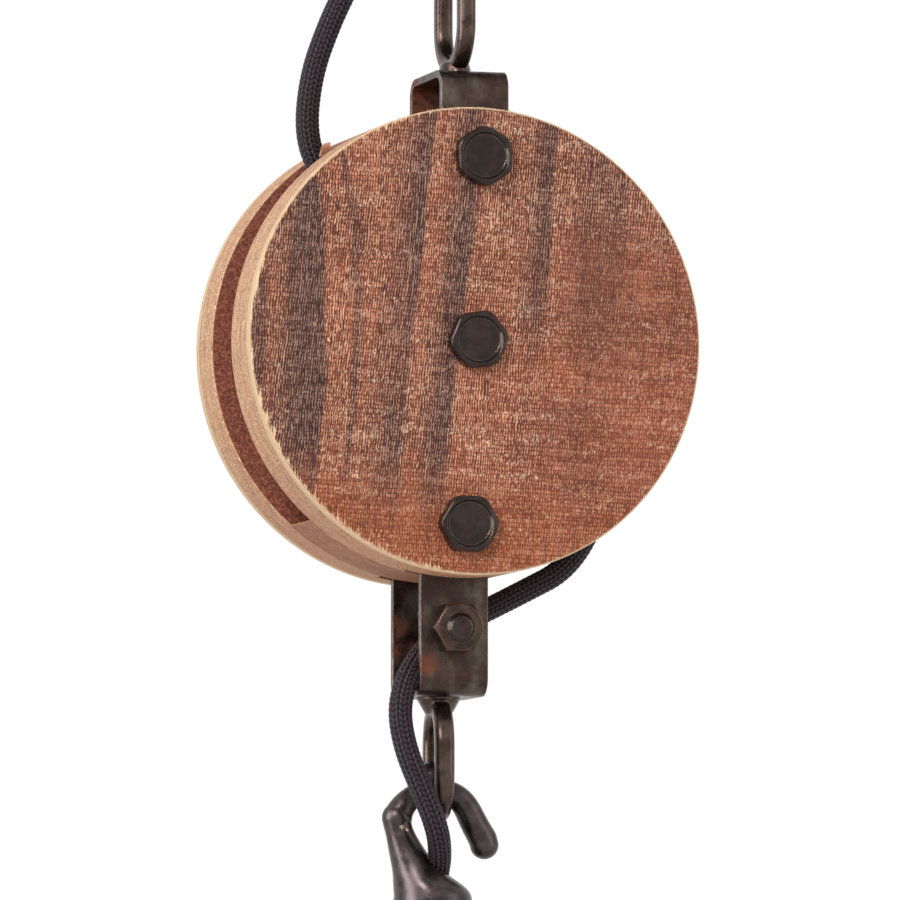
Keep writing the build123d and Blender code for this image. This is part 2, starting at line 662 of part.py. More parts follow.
def main():
    os.makedirs("parts", exist_ok=True)
    for name, shapes in build().items():
        shape = shapes[0] if len(shapes) == 1 else Compound(children=shapes)
        export_step(shape, "parts/" + name + ".step")
    for name, place in (("top", top_pivot), ("low", low_pivot), ("hook", hook_pivot)):
        print(name, "pivot", [round(v, 4) for v in place])


if __name__ == "__main__":
    main()
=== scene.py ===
# %% [markdown]
# # A wooden pulley block that carries a lamp
# The real thing is a decorative pulley: two laminated wooden cheeks bolted together
# round a wheel, a bent strap above and below, and a black cord that runs over the wheel
# and down to a cast lamp hook.  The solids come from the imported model, which stays where
# it is.  This lesson gives every solid its finish and adds what a solid can't show: the
# plait of the cord and the splinters that stand up from the front board's edge.

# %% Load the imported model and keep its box
import json
from math import atan2, cos, pi, radians, sin

import bmesh
import bpy
from mathutils import Matrix, Vector

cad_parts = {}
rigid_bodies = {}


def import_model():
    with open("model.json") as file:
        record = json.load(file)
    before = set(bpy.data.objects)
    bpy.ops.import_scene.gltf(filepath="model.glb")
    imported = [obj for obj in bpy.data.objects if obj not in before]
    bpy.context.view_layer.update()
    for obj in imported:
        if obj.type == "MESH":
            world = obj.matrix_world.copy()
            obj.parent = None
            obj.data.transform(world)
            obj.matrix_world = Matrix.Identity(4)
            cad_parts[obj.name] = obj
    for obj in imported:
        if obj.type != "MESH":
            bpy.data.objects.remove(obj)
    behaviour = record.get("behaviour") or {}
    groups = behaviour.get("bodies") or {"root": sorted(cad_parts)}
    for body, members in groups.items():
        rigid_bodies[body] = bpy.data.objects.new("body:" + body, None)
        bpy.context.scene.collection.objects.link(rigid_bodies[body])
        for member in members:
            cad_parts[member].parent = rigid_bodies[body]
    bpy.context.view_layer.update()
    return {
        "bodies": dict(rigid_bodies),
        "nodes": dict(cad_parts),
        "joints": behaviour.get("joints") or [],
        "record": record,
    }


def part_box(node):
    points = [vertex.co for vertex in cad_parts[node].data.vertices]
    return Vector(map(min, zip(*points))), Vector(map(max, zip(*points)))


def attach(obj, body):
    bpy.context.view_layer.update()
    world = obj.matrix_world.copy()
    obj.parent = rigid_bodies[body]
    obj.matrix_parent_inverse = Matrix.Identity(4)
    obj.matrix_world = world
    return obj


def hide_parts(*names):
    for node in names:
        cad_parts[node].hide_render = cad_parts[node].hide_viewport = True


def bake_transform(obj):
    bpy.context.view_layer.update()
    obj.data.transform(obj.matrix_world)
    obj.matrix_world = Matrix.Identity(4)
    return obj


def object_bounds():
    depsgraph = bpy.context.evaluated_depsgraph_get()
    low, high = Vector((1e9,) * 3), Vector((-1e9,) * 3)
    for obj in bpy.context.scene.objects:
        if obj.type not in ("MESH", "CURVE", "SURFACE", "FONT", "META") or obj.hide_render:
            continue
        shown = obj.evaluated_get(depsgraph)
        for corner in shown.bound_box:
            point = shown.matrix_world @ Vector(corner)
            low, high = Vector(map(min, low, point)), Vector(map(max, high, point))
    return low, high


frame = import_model()
MM = 0.001
print("bodies:", ", ".join(frame["bodies"]))

# %% [markdown]
# ## Places that everything else is measured from
# The joints already hold the centres of the bolts that things swing on, so the wheel's
# axle is the middle of the block.  The block leans a little on its upper bolt, and a
# pattern that follows the block is turned by the same angle.

# %% Find the block's middle and its lean
pivots = {joint["name"]: Vector(joint["pos_m"]) for joint in frame["joints"]}
axle = pivots["wheel_spin"]
lower_pivot = pivots["lower_pivot"]
lean = atan2(axle.x - lower_pivot.x, axle.z - lower_pivot.z)
front_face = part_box("front_face_board")[0][1]
print("axle at", tuple(round(v / MM, 1) for v in axle), "mm, lean", round(lean * 180 / pi, 2), "degrees")

# %% [markdown]
# ## Wiring nodes
# Every finish here is a small program of nodes, and so is every shape that repeats.  A
# helper that adds a node and gives back its output keeps each of them readable.  Effects
# that several finishes share become node groups with named inputs, wired once.

# %% A bench for wiring one tree of nodes
def paint(red, green, blue):
    """A colour given the way a paint chart gives it, 0 to 255, as linear light."""
    def light(v):
        v /= 255
        return v / 12.92 if v <= 0.04045 else ((v + 0.055) / 1.055) ** 2.4
    return (light(red), light(green), light(blue), 1.0)


def grey(v):
    return (v, v, v, 1.0)


class Bench:
    """One node tree being wired; each method adds a node and returns its output."""

    def __init__(self, tree):
        self.tree = tree

    def node(self, kind, inputs=None, **settings):
        made = self.tree.nodes.new(kind)
        for key, value in settings.items():
            setattr(made, key, value)
        for key, value in (inputs or {}).items():
            if isinstance(value, bpy.types.NodeSocket):
                self.tree.links.new(value, made.inputs[key])
            else:
                made.inputs[key].default_value = value
        return made

    def math(self, operation, a, b=0.0, clamp=False):
        return self.node("ShaderNodeMath", {0: a, 1: b}, operation=operation, use_clamp=clamp).outputs[0]

    def plus(self, a, b, clamp=False):
        return self.math("ADD", a, b, clamp)

    def minus(self, a, b):
        return self.math("SUBTRACT", a, b)

    def times(self, a, b, clamp=False):
        return self.math("MULTIPLY", a, b, clamp)

    def swing(self, value, size):
        """A noise between 0 and 1, made to swing round zero by the given size."""
        return self.times(self.minus(value, 0.5), size)

    def levels(self, value, low, high, to_low=0.0, to_high=1.0):
        """Smooth step: low and below give to_low, high and above give to_high."""
        ends = {"Value": value, "From Min": low, "From Max": high, "To Min": to_low, "To Max": to_high}
        return self.node("ShaderNodeMapRange", ends, interpolation_type="SMOOTHSTEP").outputs["Result"]

    def stretch(self, vector, scale=(1, 1, 1), place=(0, 0, 0), turn=(0, 0, 0)):
        values = {"Vector": vector, "Scale": scale, "Location": place, "Rotation": turn}
        return self.node("ShaderNodeMapping", values).outputs[0]

    def noise(self, vector, scale=1.0, detail=2.0, roughness=0.5, distortion=0.0):
        values = {"Vector": vector, "Scale": scale, "Detail": detail, "Roughness": roughness,
                  "Distortion": distortion}
        return self.node("ShaderNodeTexNoise", values).outputs["Fac"]

    def ramp(self, value, stops):
        made = self.node("ShaderNodeValToRGB", {"Fac": value})
        elements = made.color_ramp.elements
        while len(elements) < len(stops):
            elements.new(0.5)
        for element, (place, colour) in zip(elements, stops):
            element.position = place
        for element, (place, colour) in zip(elements, stops):
            element.color = colour
        return made.outputs["Color"]

    def mix(self, amount, a, b):
        made = self.node("ShaderNodeMix", data_type="RGBA", clamp_factor=True)
        for socket, value in ((made.inputs[0], amount), (made.inputs[6], a), (made.inputs[7], b)):
            if isinstance(value, bpy.types.NodeSocket):
                self.tree.links.new(value, socket)
            else:
                socket.default_value = value
        return made.outputs[2]

    def colour(self, shader, value):
        """Wires a colour into the shader's base colour."""
        self.tree.links.new(value, shader.inputs["Base Color"])

    def split(self, vector):
        made = self.node("ShaderNodeSeparateXYZ", {0: vector})
        return made.outputs[0], made.outputs[1], made.outputs[2]

    def join(self, x=0.0, y=0.0, z=0.0):
        return self.node("ShaderNodeCombineXYZ", {0: x, 1: y, 2: z}).outputs[0]

    def distance(self, a, b):
        return self.node("ShaderNodeVectorMath", {0: a, 1: b}, operation="DISTANCE").outputs["Value"]

    def group(self, tree, inputs):
        return self.node("ShaderNodeGroup", inputs, node_tree=tree).outputs

    def give(self, ends, values):
        """Wires each value to the end of the group that carries its name."""
        for label, value in values.items():
            self.tree.links.new(value, ends[label])


FLOAT, VECTOR, WHOLE = "NodeSocketFloat", "NodeSocketVector", "NodeSocketInt"
GEOMETRY, MATERIAL = "NodeSocketGeometry", "NodeSocketMaterial"


def new_group(name, inputs, outputs, kind="ShaderNodeTree"):
    """An empty node group with its named sockets, its bench and its two ends."""
    tree = bpy.data.node_groups.new(name, kind)
    for way, sockets in (("INPUT", inputs), ("OUTPUT", outputs)):
        for label, socket_type in sockets.items():
            tree.interface.new_socket(label, in_out=way, socket_type=socket_type)
    bench = Bench(tree)
    return tree, bench, bench.node("NodeGroupInput").outputs, bench.node("NodeGroupOutput").inputs


def put(name, data):
    """An object with this name and data, in the scene."""
    made = bpy.data.objects.new(name, data)
    bpy.context.collection.objects.link(made)
    return made


def shaped_by(piece, tree, values):
    """Runs a geometry tree on a piece and keeps the result as its plain mesh."""
    modifier = piece.modifiers.new(tree.name, "NODES")
    modifier.node_group = tree
    sockets = {item.name: item.identifier for item in tree.interface.items_tree if item.in_out == "INPUT"}
    for label, value in values.items():
        modifier[sockets[label]] = value
    made = bpy.data.meshes.new_from_object(piece.evaluated_get(bpy.context.evaluated_depsgraph_get()))
    made.name = piece.name
    piece.modifiers.remove(modifier)
    piece.data = made


def new_finish(name, roughness, metallic=0.0, **constants):
    """A material with its Principled shader; what is the same all over is set here."""
    material = bpy.data.materials.new(name)
    material.use_nodes = True
    shader = material.node_tree.nodes["Principled BSDF"]
    shader.inputs["Roughness"].default_value = roughness
    shader.inputs["Metallic"].default_value = metallic
    for label, value in constants.items():
        shader.inputs[label.replace("_", " ")].default_value = value
    return material, Bench(material.node_tree), shader


def relief(bench, shader, height, distance, strength=1.0, edge=0.0):
    """Feeds a height in millimetres into the shader's normal; edge rounds sharp edges."""
    made = bench.node("ShaderNodeBump", {"Height": height, "Distance": distance * MM, "Strength": strength})
    if edge:
        soft = bench.node("ShaderNodeBevel", {"Radius": edge * MM}, samples=4).outputs[0]
        bench.tree.links.new(soft, made.inputs["Normal"])
    bench.tree.links.new(made.outputs[0], shader.inputs["Normal"])


print("bench ready")

# %% [markdown]
# ## Camera
# A long lens, a little to the left of the block and below it, keeps the round cheeks
# nearly round and shows the gap between them.  The shifts place the block off centre.

# %% Put up the camera
view_azimuth = radians(-16.49)
view_elevation = radians(-5.38)
view_distance = 2.5
back = Vector((sin(view_azimuth) * cos(view_elevation), -cos(view_azimuth) * cos(view_elevation),
               sin(view_elevation)))
camera_data = bpy.data.cameras.new("block_camera")
camera_data.lens = 361.1
camera_data.sensor_width = 36.0
camera_data.shift_x = -0.03
camera_data.shift_y = -0.1244
camera_data.clip_end = 20.0
camera = put("block_camera", camera_data)
aim = Vector((axle.x + 0.2 * MM, front_face, axle.z + 0.6 * MM))
camera.location = aim + view_distance * back
camera.rotation_euler = (-back).to_track_quat("-Z", "Y").to_euler()
bpy.context.scene.camera = camera
bpy.context.scene.view_settings.view_transform = "Standard"
print("camera", view_distance, "m away")

# %% [markdown]
# ## Cord
# A textile cord is limp, so its line is one smooth curve through the block.  The route
# below has its corners; a NURBS spline rounds them.  The cord crosses several swinging
# pieces, so it is made as one length for each stretch between two of them, and each
# length starts and ends in the middle of a run, where the line is straight.

# %% List the corners of the cord's route, in millimetres
guide = (-4.559, -2.6, -234.86)
cord_route = [
    (-25.5, 0.0, -18.0), (-25.5, 0.0, -42.0), (-31.0, 0.0, -53.5), (-36.6, 0.0, -65.0),
    (-42.0, 0.0, -80.0), (-43.5, 0.0, -97.0), (-38.5, 0.0, -108.0), (-27.7, 0.0, -122.5),
    (-11.7, 0.0, -125.6), (6.5, 0.0, -126.2), (21.0, 0.0, -134.0), (32.5, 0.0, -148.0),
    (42.7, 0.0, -164.0), (46.8, 0.0, -183.0), (42.1, 0.0, -200.5), (33.3, 0.0, -216.3),
    (19.8, 0.0, -223.3), (7.6, -0.6, -229.4), guide, (-14.9, -8.0, -245.2),
    (-19.9, -12.6, -256.0), (-18.8, -14.5, -267.5), (-13.8, -14.8, -279.5), (-8.9, -13.6, -290.1),
    (-5.6, -5.2, -297.2), (-4.9, 0.6, -302.8), (-5.7, 2.4, -311.0),
]
cord_route = [Vector(corner) * MM for corner in cord_route]
cord_lengths = {"cord_top": (0, 2), "cord_entry": (2, 6), "cord_wheel": (6, 14), "cord_run": (14, 18),
                "cord_drop": (18, len(cord_route) - 2)}
cord_radius = 3.25 * MM
print(len(cord_route), "corners in the cord's route")


# %% Draw one length of the route as a NURBS spline and read its points
def cord_corners(first, last):
    start = cord_route[0] if first == 0 else (cord_route[first] + cord_route[first + 1]) / 2
    at_end = last == len(cord_route) - 2
    finish = cord_route[-1] if at_end else (cord_route[last] + cord_route[last + 1]) / 2
    return [start] + cord_route[first + 1:last + 1] + [finish]


def cord_line(name, corners):
    curve = bpy.data.curves.new(name + "_line", "CURVE")
    curve.dimensions = "3D"
    spline = curve.splines.new("NURBS")
    spline.points.add(len(corners) - 1)
    for point, corner in zip(spline.points, corners):
        point.co = (*corner, 1.0)
    spline.order_u = 3
    spline.use_endpoint_u = True
    spline.resolution_u = 24
    holder = bpy.data.objects.new(name + "_line", curve)
    mesh = bpy.data.meshes.new_from_object(holder)
    line = [vertex.co.copy() for vertex in mesh.vertices]
    bpy.data.meshes.remove(mesh)
    bpy.data.objects.remove(holder)
    bpy.data.curves.remove(curve)
    return line


lines = {name: cord_line(name, cord_corners(*span)) for name, span in cord_lengths.items()}
for name, line in lines.items():
    print(name, round(sum((b - a).length for a, b in zip(line, line[1:])) / MM, 1), "mm long")


# %% Wrap a tube round the line, with a map that measures along and around it
def even_line(line, step):
    """Points at even steps along a line, and how far along each one is."""
    far = [0.0]
    for a, b in zip(line, line[1:]):
        far.append(far[-1] + (b - a).length)
    count = max(2, round(far[-1] / step))
    points, place, k = [], [], 0
    for i in range(count + 1):
        want = far[-1] * i / count
        while k < len(far) - 2 and far[k + 1] < want:
            k += 1
        t = (want - far[k]) / max(far[k + 1] - far[k], 1e-9)
        points.append(line[k].lerp(line[k + 1], t))
        place.append(want)
    return points, place


def tube(name, line, radius, step, around, side, along_from):
    """Closed tube; its map holds turns around (u) and millimetres along (v), and each of
    its points knows the same two numbers and which way is outwards."""
    points, place = even_line(line, step)
    along = [(along_from + far) / MM for far in place]
    angles = [2 * pi * k / around for k in range(around)]
    corners, outwards = [], []
    for i, point in enumerate(points):
        ahead = points[min(i + 1, len(points) - 1)] - points[max(i - 1, 0)]
        ahead.normalize()
        side = (side - ahead * side.dot(ahead)).normalized()
        other = ahead.cross(side)
        ring = [cos(angle) * side + sin(angle) * other for angle in angles]
        corners += [point + radius * out for out in ring]
        outwards += [v for out in ring for v in out]
    faces, mapped = [], []
    for i in range(len(points) - 1):
        for k in range(around):
            a, b = i * around + k, i * around + (k + 1) % around
            faces.append((a, b, b + around, a + around))
            for u, v in ((k, i), (k + 1, i), (k + 1, i + 1), (k, i + 1)):
                mapped += [u / around, along[v]]
    last = len(corners) - around
    for ends in (range(around - 1, -1, -1), range(last, last + around)):
        faces.append(tuple(ends))
        mapped += [0.0] * (2 * around)
    mesh = bpy.data.meshes.new(name)
    mesh.from_pydata(corners, [], faces)
    mesh.polygons.foreach_set("use_smooth", [True] * (len(faces) - 2) + [False] * 2)
    mesh.uv_layers.new(name="UVMap").data.foreach_set("uv", mapped)
    turns = [angle / (2 * pi) for angle in angles]
    for label, kind, key, values in (("turns", "FLOAT", "value", turns * len(points)),
                                     ("along", "FLOAT", "value", [far for far in along for turn in turns]),
                                     ("outwards", "FLOAT_VECTOR", "vector", outwards)):
        mesh.attributes.new(label, kind, "POINT").data.foreach_set(key, values)
    return put(name, mesh), points, side, place[-1]


point_step, points_around = 0.2 * MM, 96
print("rings of", points_around, "points, one every", point_step / MM, "mm of cord")


# %% [markdown]
# ### The plait
# A textile cord is plaited from many fine yarns.  Seen close, it is a row of columns,
# each a ladder of slanted stitches that lean left and right in turn.  Two numbers place
# a stitch, how far round it is and how far along, so one small sum gives the height of
# the yarn anywhere.  A geometry tree pushes the tube's points in and out by that height,
# and the finish uses the same sum to paint shade into the gaps between the stitches.

# %% Work out a stitch, and plait a tube with it
def stitches(b, turns, along, columns, pitch, slant):
    """Height of the plait, 0 in a gap and 1 on a stitch, and the stripes of its yarns."""
    column = b.times(turns, columns)
    place = b.minus(b.math("FRACT", column), 0.5)
    odd = b.minus(b.times(b.math("MODULO", b.math("FLOOR", column), 2.0), 2.0), 1.0)
    lean_of_stitch = b.times(b.times(odd, place), slant)
    climb = b.plus(b.math("DIVIDE", along, pitch), lean_of_stitch)
    stitch = b.math("POWER", b.math("ABSOLUTE", b.math("SINE", b.times(climb, pi))), 0.6)
    valley = b.minus(1.0, b.math("POWER", b.times(b.math("ABSOLUTE", place), 2.0), 4.0))
    thread = b.math("SINE", b.times(b.plus(b.times(climb, 4.0), column), 2 * pi))
    return b.times(stitch, valley), b.levels(thread, -1.0, 1.0)


braid_columns, braid_pitch, braid_slant = 16.0, 1.5, 0.85
plait, b, given, result = new_group(
    "plait", {"Tube": GEOMETRY, "Columns": FLOAT, "Pitch": FLOAT, "Slant": FLOAT, "Proud": FLOAT,
              "Depth": FLOAT, "Material": MATERIAL},
    {"Geometry": GEOMETRY}, "GeometryNodeTree")
named = {}
for label, kind in (("turns", "FLOAT"), ("along", "FLOAT"), ("outwards", "FLOAT_VECTOR")):
    known = b.node("GeometryNodeInputNamedAttribute", {"Name": label}, data_type=kind)
    named[label] = known.outputs["Attribute"]
height, yarns = stitches(b, named["turns"], named["along"], given["Columns"], given["Pitch"], given["Slant"])
rise = b.minus(given["Proud"], b.times(b.minus(1.0, height), given["Depth"]))
push = b.node("ShaderNodeVectorMath", {0: named["outwards"], "Scale": rise}, operation="SCALE").outputs[0]
pushed = b.node("GeometryNodeSetPosition", {"Geometry": given["Tube"], "Offset": push}).outputs[0]
dressed = b.node("GeometryNodeSetMaterial", {"Geometry": pushed, "Material": given["Material"]}).outputs[0]
b.give(result, {"Geometry": dressed})
print("plait wired with", len(plait.nodes), "nodes")

# %% The cord's finish: slightly shiny yarns, with painted shade in the gaps between them
# The last colour is painted shade for the gaps between the stitches.
yarn_dark, yarn_light, yarn_stripe, plait_gap_shade = (
    paint(54, 40, 47), paint(92, 72, 82), paint(28, 22, 25), paint(10, 5, 8))


def cord_braid():
    material, b, shader = new_finish("braided_cord", roughness=0.3, Sheen_Weight=0.02,
                                     Sheen_Roughness=0.4, Specular_IOR_Level=0.2)
    where = b.node("ShaderNodeTexCoord").outputs["UV"]
    turns, along = b.split(where)[:2]
    height, yarns = stitches(b, turns, along, braid_columns, braid_pitch, braid_slant)
    dust = b.noise(where, scale=2.0, detail=3.0)
    thread = b.mix(dust, yarn_dark, yarn_light)
    thread = b.mix(b.times(yarns, 0.35), thread, yarn_stripe)
    # Where the plait dips the colour goes near black: painted shade in the gaps between the stitches.
    yarn = b.mix(b.levels(height, 0.38, 1.0), plait_gap_shade, thread)
    b.colour(shader, yarn)
    relief(b, shader, b.plus(b.times(height, 0.5), b.times(yarns, 0.3)), distance=0.25)
    return material


cord_finish = cord_braid()
print("cord finish wired")

# %% Make the five lengths; the one on the wheel goes with the block, the others stay in place
cord_bends = {
    "cord_top": ("ceiling_rose", "hanger", 1, 2),
    "cord_entry": ("hanger", "block", 0, 3),
    "cord_run": ("block", "lower_hanger", 0, 2),
    "cord_drop": ("lower_hanger", "lamp_hook", 1, 5),
}
stitch_proud, gap_depth = 0.07 * MM, 0.28 * MM
side, run_so_far = Vector((0, 1, 0)), 0.0
for name, line in lines.items():
    piece, points, side, length = tube(name + "_braid", line, cord_radius, point_step, points_around, side,
                                       run_so_far)
    shaped_by(piece, plait, {"Columns": braid_columns, "Pitch": braid_pitch, "Slant": braid_slant,
                             "Proud": stitch_proud, "Depth": gap_depth, "Material": cord_finish})
    run_so_far += length
    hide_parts(name)
    if name in cord_bends:
        body_a, body_b, start, end = cord_bends[name]
        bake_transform(piece)
    else:
        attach(piece, "block")
print("cord", round(run_so_far / MM), "mm in", len(lines), "lengths")


# %% [markdown]
# ## Two ways to measure
# A pattern needs a place to start from.  On the block it starts at the axle and leans with
# the block; on the metal it starts at the ceiling, where the model's own middle is.

# %% Coordinates in millimetres, square to the block or to the ceiling
def block_mm(bench):
    """Object coordinates in millimetres from the axle, turned with the block's lean."""
    where = bench.node("ShaderNodeTexCoord").outputs["Object"]
    turned = Matrix.Rotation(-lean, 3, "Y") @ (axle / MM)
    return bench.stretch(where, (1 / MM,) * 3, tuple(-turned), (0, -lean, 0))


def plain_mm(bench):
    """Object coordinates in millimetres from the ceiling."""
    where = bench.node("ShaderNodeTexCoord").outputs["Object"]
    return bench.stretch(where, (1 / MM,) * 3)


def from_axle(b, x, z):
    """How far a place lies from the line of the axle."""
    return b.math("POWER", b.plus(b.times(x, x), b.times(z, z)), 0.5)


print("block patterns start at the axle")

# %% [markdown]
# ## Rubbed edges and painted edge highlights
# Handling wears edges first: steel turns bright there and wood turns pale.  The same pale
# edge is also a painted highlight, standing in for the light that a rounded edge catches.
# It shows on straps, nuts, bolt heads and spacers alike, so it is a group.  It compares the
# true normal with one rounded over a small radius, which differ only near an edge.

# %% Find the edges, where rubbing and a painted highlight make them pale, and let that come and go in patches
wear_and_highlight_group, b, given, result = new_group(
    "worn_and_highlit_edges", {"Radius": FLOAT, "Vector": VECTOR, "Patchy": FLOAT}, {"Wear and highlight": FLOAT})
rounded = b.node("ShaderNodeBevel", {"Radius": given["Radius"]}, samples=4).outputs[0]
flat = b.node("ShaderNodeNewGeometry").outputs["Normal"]
same = b.node("ShaderNodeVectorMath", {0: rounded, 1: flat}, operation="DOT_PRODUCT").outputs["Value"]
corner = b.levels(same, 0.995, 0.90)
patch = b.levels(b.noise(given["Vector"], scale=0.45, detail=3.0, roughness=0.65), 0.35, 0.62)
keep = b.plus(b.minus(1.0, given["Patchy"]), b.times(given["Patchy"], patch))
b.give(result, {"Wear and highlight": b.times(corner, keep, clamp=True)})
print("worn edges wired")

# %% [markdown]
# ## Sawn wood
# The cheeks are faced with thin rough-sawn boards.  A saw leaves rows of short torn
# fibres across the grain; stain sinks in, and sanding bares the fibre tips, so the face
# is a field of small pale strokes over brown, with dark bands where the heartwood runs.
# The strokes are one node group, used by the front board and the rear one, which then
# have their own bands.

# %% Torn fibres: strokes along the grain, set in the rows that the saw left
fibre_group, b, given, result = new_group(
    "torn_fibres", {"Vector": VECTOR, "Columns per mm": FLOAT, "Rows per mm": FLOAT},
    {"Strokes": FLOAT, "Fibres": FLOAT, "Flecks": FLOAT, "Row lines": FLOAT, "Scores": FLOAT, "Grain": FLOAT})
x, y, z = b.split(given["Vector"])


def across(stretch_x, stretch_z, shift=0.0):
    """The place on the board, stretched, and moved to a fresh part of the noise."""
    return b.join(b.times(x, stretch_x), b.plus(y, shift), b.times(z, stretch_z))


# The rows run nearly level, sag a little, and each has a number of its own.
sag = b.noise(across(0.015, 0.06))
level_z = b.minus(z, b.times(x, 0.07))
row_z = b.plus(b.times(level_z, given["Rows per mm"]), b.times(sag, 2.5))
row_place = b.math("ABSOLUTE", b.minus(b.math("FRACT", row_z), 0.5))
row_chance = b.node("ShaderNodeTexWhiteNoise", {"W": b.math("FLOOR", row_z)},
                    noise_dimensions="1D").outputs["Value"]
drawn = b.noise(b.join(b.times(x, 0.05), b.times(row_chance, 90.0), 0.0), detail=3.0, roughness=0.7)

# The fibres stand in columns that wander; a row breaks them and moves them sideways.
meander = b.noise(across(0.12, 0.08))
phase = b.plus(b.times(x, given["Columns per mm"]), b.plus(b.times(meander, 2.5), b.times(row_chance, 0.35)))
column = b.math("SINE", b.times(phase, 2 * pi))
long_noise = b.noise(across(2.0, 0.55), detail=3.0, roughness=0.7)
strokes = b.plus(b.times(column, 0.42), b.swing(long_noise, 4.0))
row_shift = b.plus(y, b.times(row_chance, 60.0))
short_noise = b.noise(b.join(b.times(x, 2.2), row_shift, b.times(z, 0.7)), detail=3.0, roughness=0.7)
fibres = b.plus(b.times(column, 0.2), b.swing(short_noise, 3.0))
fibres = b.plus(fibres, b.swing(drawn, 0.7))
fibres = b.minus(fibres, b.levels(row_place, 0.32, 0.48, -0.06, 0.3))

# Pale flecks come in clouds, pale lines follow a row's ridge and dark scores its floor.
clouds = b.noise(b.join(b.times(x, 0.09), y, b.times(row_z, 0.55)), detail=4.0, roughness=0.7)
specks = b.noise(across(1.7, 0.95, 9.0), roughness=0.8)
flecks = b.times(b.levels(specks, 0.54, 0.66), b.levels(clouds, 0.46, 0.62, 0.04, 1.0))
broken = b.noise(across(1.1, 1.2, 4.0), detail=3.0, roughness=0.75)
ridge = b.times(b.levels(row_place, 0.3, 0.44), b.levels(drawn, 0.55, 0.66))
row_lines = b.times(ridge, b.levels(broken, 0.4, 0.6))
scores = b.times(b.levels(row_place, 0.3, 0.05), b.levels(drawn, 0.5, 0.36))
grain_place = b.join(b.times(x, 0.7), b.times(y, 0.7), b.times(z, 0.03))
b.give(result, {"Strokes": b.plus(strokes, 0.5, clamp=True), "Fibres": b.plus(fibres, 0.5, clamp=True),
                "Flecks": flecks, "Row lines": row_lines, "Scores": scores,
                "Grain": b.noise(grain_place, detail=4.0, roughness=0.62)})
print("torn fibres wired")


# %% Heartwood bands: millimetres from the axle, left to right, and how dark it is there
board_span = 136.0
front_bands = [
    (-66, 0.5), (-63, 0.9), (-60, 0.8), (-57.5, 0.35), (-54, 0.6), (-51, 0.95), (-42.5, 1.0), (-41.2, 0.0),
    (-34.6, 0.0), (-33.8, 0.75), (-32.8, 0.75), (-32.0, 0.0), (-29, 0.1), (-21, 0.9), (-18.6, 0.95),
    (-17.8, 0.0), (-14, 0.1), (-9.5, 0.8), (-4.6, 0.95), (-3.6, 0.0), (5, 0.0), (10, 0.15), (15.5, 0.9),
    (17.5, 0.75), (18.5, 0.0), (24, 0.1), (28, 0.55), (38, 0.5), (44, 0.1), (66, 0.0)]
rear_bands = [
    (-66, 0.1), (-38, 0.5), (-30, 0.1), (-2, 0.1), (1, 0.8), (9, 0.7), (11, 0.1), (33, 0.1), (36, 0.6),
    (44, 0.4), (50, 0.1), (66, 0.3)]


def heartwood(b, at, grain, dark_bands, right_bands_end):
    """The dark bands: bowed at the upper left, wavering, and fading out below."""
    x, y, z = b.split(at)
    rise = b.math("MAXIMUM", b.plus(z, 20.0), 0.0)
    bow = b.times(b.times(rise, rise), b.levels(x, -30.0, -42.0, 0.0, 0.0026))
    drift = b.noise(b.stretch(at, (0.05, 1.0, 0.02)))
    bent_x = b.plus(b.plus(b.plus(x, bow), b.swing(drift, 5.0)), b.swing(grain, 3.0))
    stops = [(place / board_span + 0.5, grey(dark)) for place, dark in dark_bands]
    band = b.ramp(b.plus(b.math("DIVIDE", bent_x, board_span), 0.5), stops)
    to_right = b.levels(x, 3.0, 9.0)
    left_fade = b.levels(z, -56.0, -30.0)
    right_fade = b.levels(z, right_bands_end - 20.0, right_bands_end + 15.0)
    fade = b.plus(b.times(left_fade, b.minus(1.0, to_right)), b.times(right_fade, to_right))
    cloud = b.noise(b.stretch(at, (0.5, 1.0, 0.02)), detail=4.0, roughness=0.7)
    return b.times(b.times(band, fade), b.levels(cloud, 0.34, 0.5, 0.55, 1.0))


print(len(front_bands), "places on the front board,", len(rear_bands), "on the rear one")


# %% Stain under the fibres and bare wood at the chipped edge
board_radius = 64.5
stain_dark, stain_light, stain_foot = paint(132, 67, 44), paint(160, 86, 60), paint(154, 76, 38)
stain_corner, vein_brown, heart_brown = paint(116, 62, 48), paint(92, 50, 40), paint(62, 34, 29)
edge_tan, edge_pale = paint(220, 172, 128), paint(252, 224, 186)


def stained(b, at, band, veins):
    """The stain alone: blotched, warmer at the foot, darker at the upper right."""
    x, y, z = b.split(at)
    blotch = b.noise(b.stretch(at, (0.05, 1.0, 0.04)), detail=3.0, roughness=0.6)
    stain = b.mix(b.levels(blotch, 0.35, 0.68), stain_dark, stain_light)
    stain = b.mix(b.levels(z, -30.0, -58.0, 0.0, 0.75), stain, stain_foot)
    upper_right = b.times(b.levels(z, 22.0, 50.0), b.levels(x, 0.0, 14.0, 0.0, 0.6))
    stain = b.mix(upper_right, stain, stain_corner)
    stain = b.mix(b.times(veins, 0.5), stain, vein_brown)
    return b.mix(b.times(band, 0.97), stain, heart_brown)


def chipped_edge(b, square, at):
    """Where the board's edge is bare or chipped, and the colour of the wood there."""
    x, y, z = b.split(square)
    nick = b.noise(b.stretch(at, (1.3, 1.0, 0.16)), detail=3.0, roughness=0.6)
    chip_side = b.noise(b.stretch(at, (0.05, 1, 0.05)), detail=1.0)
    depth = b.times(b.levels(nick, 0.5, 0.78), b.levels(chip_side, 0.4, 0.62, 0.3, 2.2))
    depth = b.times(depth, b.levels(x, 30.0, -20.0, 0.15, 1.0))
    edge = b.levels(b.plus(from_axle(b, x, z), depth), board_radius - 0.2, board_radius + 0.4)
    return edge, b.mix(nick, edge_tan, edge_pale)


print("stain and edge ready, board radius", board_radius)

